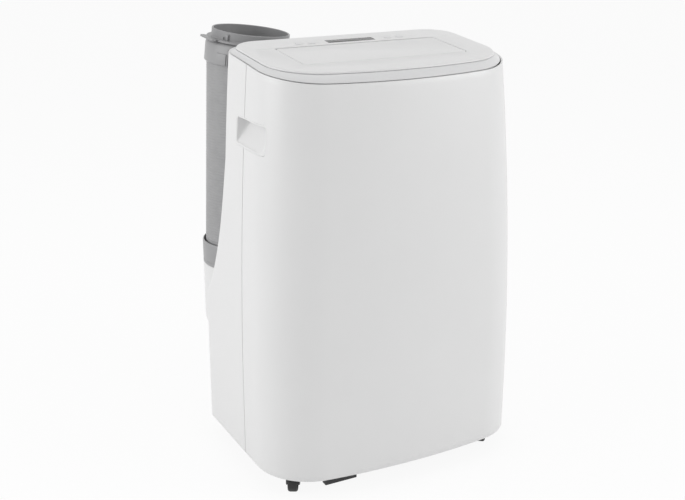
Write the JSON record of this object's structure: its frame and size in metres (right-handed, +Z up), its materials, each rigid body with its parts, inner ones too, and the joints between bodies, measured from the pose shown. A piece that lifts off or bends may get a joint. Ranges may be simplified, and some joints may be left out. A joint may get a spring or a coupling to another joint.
{
  "type": "portable air conditioner",
  "caption": "Tall rounded floor-standing air conditioner on casters, with a hinged top air vane, rear intakes and an upright corrugated exhaust hose with a window adaptor.",
  "frame": {"origin": "on the floor under the centre of the whole object, hose and adaptor included", "axes": "+Z up, -Y out of the bowed front face, +X to the right of someone facing the front"},
  "size_m": [0.494, 0.46, 0.7571],
  "materials": {
    "casing_white": "satin moulded white",
    "deck_white": "satin moulded white",
    "trim_silver": "satin silver-grey paint on moulding",
    "display_black": "polished",
    "circuit_board": "solder mask",
    "black_plastic": "fine texture",
    "coil_aluminium": "mill",
    "inner_white": "moulded",
    "fan_grey": "moulded",
    "motor_steel": "zinc plated",
    "compressor_black": "gloss black paint",
    "rubber_black": "moulded",
    "copper": "drawn tube",
    "collar_grey": "satin",
    "flange_grey": "satin",
    "hose_grey": "corrugated film",
    "plug_grey": "moulded",
    "screw_steel": "zinc plated",
    "caster_grey": "moulded",
    "caster_black": "moulded",
    "key_grey": "satin"
  },
  "bodies": {
    "root": {"base_pan": "black_plastic", "front_panel": "casing_white", "rear_housing": "casing_white", "exhaust_shroud": "casing_white", "trim_ring": "trim_silver", "top_deck": "deck_white", "display_window": "display_black", "display_board": "circuit_board", "handle_left": "casing_white", "handle_right": "casing_white", "evaporator_coil": "coil_aluminium", "condenser_coil": "coil_aluminium", "partition": "inner_white", "upper_scroll": "inner_white", "lower_scroll": "inner_white", "upper_motor": "motor_steel", "lower_motor": "motor_steel", "compressor": "compressor_black", "accumulator": "compressor_black", "compressor_feet": "rubber_black", "suction_pipe": "copper", "discharge_pipe": "copper", "control_box": "motor_steel", "heat_sink": "coil_aluminium", "exhaust_duct": "inner_white", "hose_collar": "collar_grey", "exhaust_hose": "hose_grey", "cord_gland": "black_plastic", "drain_barb": "casing_white", "casing_screws": "screw_steel", "vane_motor": "motor_steel"},
    "vane": {"vane": "deck_white"},
    "louver_1": {"louver_1": "inner_white"},
    "louver_2": {"louver_2": "inner_white"},
    "louver_3": {"louver_3": "inner_white"},
    "louver_link": {"louver_link": "fan_grey"},
    "upper_blower": {"upper_blower": "fan_grey"},
    "lower_blower": {"lower_blower": "fan_grey"},
    "upper_filter": {"upper_grille": "casing_white", "upper_filter": "black_plastic"},
    "lower_filter": {"lower_grille": "casing_white", "lower_filter": "black_plastic"},
    "adaptor": {"hose_adaptor": "collar_grey", "window_flange": "flange_grey"},
    "drain_plug": {"drain_plug": "plug_grey"},
    "caster_1": {"caster_fork_1": "caster_grey"},
    "wheel_1": {"caster_wheel_1": "caster_black"},
    "key_1": {"key_1": "key_grey"},
    "caster_2": {"caster_fork_2": "caster_grey"},
    "wheel_2": {"caster_wheel_2": "caster_black"},
    "key_2": {"key_2": "key_grey"},
    "caster_3": {"caster_fork_3": "caster_grey"},
    "wheel_3": {"caster_wheel_3": "caster_black"},
    "key_3": {"key_3": "key_grey"},
    "caster_4": {"caster_fork_4": "caster_grey"},
    "wheel_4": {"caster_wheel_4": "caster_black"},
    "key_4": {"key_4": "key_grey"}
  },
  "joints": [
    {"name": "vane_hinge", "type": "hinge", "parent": "root", "child": "vane", "pos_m": [0, -0.02114, 0.73273], "axis": [1, 0, 0], "range_deg": [-60, 0]},
    {"name": "louver_1_turn", "type": "hinge", "parent": "root", "child": "louver_1", "pos_m": [-0.075, -0.0734, 0.68], "axis": [0, 1, 0], "range_deg": [-30, 30]},
    {"name": "louver_2_turn", "type": "hinge", "parent": "root", "child": "louver_2", "pos_m": [0, -0.0734, 0.68], "axis": [0, 1, 0], "range_deg": [-30, 30]},
    {"name": "louver_3_turn", "type": "hinge", "parent": "root", "child": "louver_3", "pos_m": [0.075, -0.0734, 0.68], "axis": [0, 1, 0], "range_deg": [-30, 30]},
    {"name": "louver_link_slide", "type": "slide", "parent": "root", "child": "louver_link", "axis": [1, 0, 0], "range_m": [-0.011, 0.011]},
    {"name": "upper_blower_spin", "type": "hinge", "parent": "root", "child": "upper_blower", "pos_m": [0.03, -0.0734, 0.52], "axis": [0, 1, 0], "continuous": true},
    {"name": "lower_blower_spin", "type": "hinge", "parent": "root", "child": "lower_blower", "pos_m": [-0.095, -0.025, 0.205], "axis": [0, 1, 0], "continuous": true},
    {"name": "caster_1_swivel", "type": "hinge", "parent": "root", "child": "caster_1", "pos_m": [-0.196, -0.16, 0.05], "axis": [0, 0, 1], "continuous": true},
    {"name": "wheel_1_roll", "type": "hinge", "parent": "caster_1", "child": "wheel_1", "pos_m": [-0.202, -0.17039, 0.019], "axis": [0.866, -0.5, 0], "continuous": true},
    {"name": "caster_2_swivel", "type": "hinge", "parent": "root", "child": "caster_2", "pos_m": [0.196, -0.16, 0.05], "axis": [0, 0, 1], "continuous": true},
    {"name": "wheel_2_roll", "type": "hinge", "parent": "caster_2", "child": "wheel_2", "pos_m": [0.18829, -0.16919, 0.019], "axis": [0.766, -0.6428, 0], "continuous": true},
    {"name": "caster_3_swivel", "type": "hinge", "parent": "root", "child": "caster_3", "pos_m": [-0.196, 0.076, 0.05], "axis": [0, 0, 1], "continuous": true},
    {"name": "wheel_3_roll", "type": "hinge", "parent": "caster_3", "child": "wheel_3", "pos_m": [-0.2001, 0.08728, 0.019], "axis": [-0.9397, -0.342, 0], "continuous": true},
    {"name": "caster_4_swivel", "type": "hinge", "parent": "root", "child": "caster_4", "pos_m": [0.196, 0.076, 0.05], "axis": [0, 0, 1], "continuous": true},
    {"name": "wheel_4_roll", "type": "hinge", "parent": "caster_4", "child": "wheel_4", "pos_m": [0.2001, 0.08728, 0.019], "axis": [-0.9397, 0.342, 0], "continuous": true},
    {"name": "upper_filter_pull", "type": "slide", "parent": "root", "child": "upper_filter", "axis": [0, 1, 0], "range_m": [0, 0.08]},
    {"name": "lower_filter_pull", "type": "slide", "parent": "root", "child": "lower_filter", "axis": [0, 1, 0], "range_m": [0, 0.08]},
    {"name": "hose_stretch", "type": "slide", "parent": "root", "child": "adaptor", "axis": [0, 0, 1], "range_m": [0, 0.85], "deforming": ["exhaust_hose"]},
    {"name": "drain_plug_pull", "type": "slide", "parent": "root", "child": "drain_plug", "axis": [0, 1, 0], "range_m": [0, 0.03]},
    {"name": "key_1_press", "type": "slide", "parent": "root", "child": "key_1", "axis": [0, -0.0889, 0.996], "range_m": [-0.0006, 0], "stiffness_N_per_m": 300},
    {"name": "key_2_press", "type": "slide", "parent": "root", "child": "key_2", "axis": [0, -0.0889, 0.996], "range_m": [-0.0006, 0], "stiffness_N_per_m": 300},
    {"name": "key_3_press", "type": "slide", "parent": "root", "child": "key_3", "axis": [0, -0.0889, 0.996], "range_m": [-0.0006, 0], "stiffness_N_per_m": 300},
    {"name": "key_4_press", "type": "slide", "parent": "root", "child": "key_4", "axis": [0, -0.0889, 0.996], "range_m": [-0.0006, 0], "stiffness_N_per_m": 300}
  ],
  "couplings": [
    {"joint": "louver_2_turn", "follows": "louver_1_turn", "ratio": 1},
    {"joint": "louver_3_turn", "follows": "louver_1_turn", "ratio": 1},
    {"joint": "louver_link_slide", "follows": "louver_1_turn", "m_per_rad": -0.0205}
  ]
}
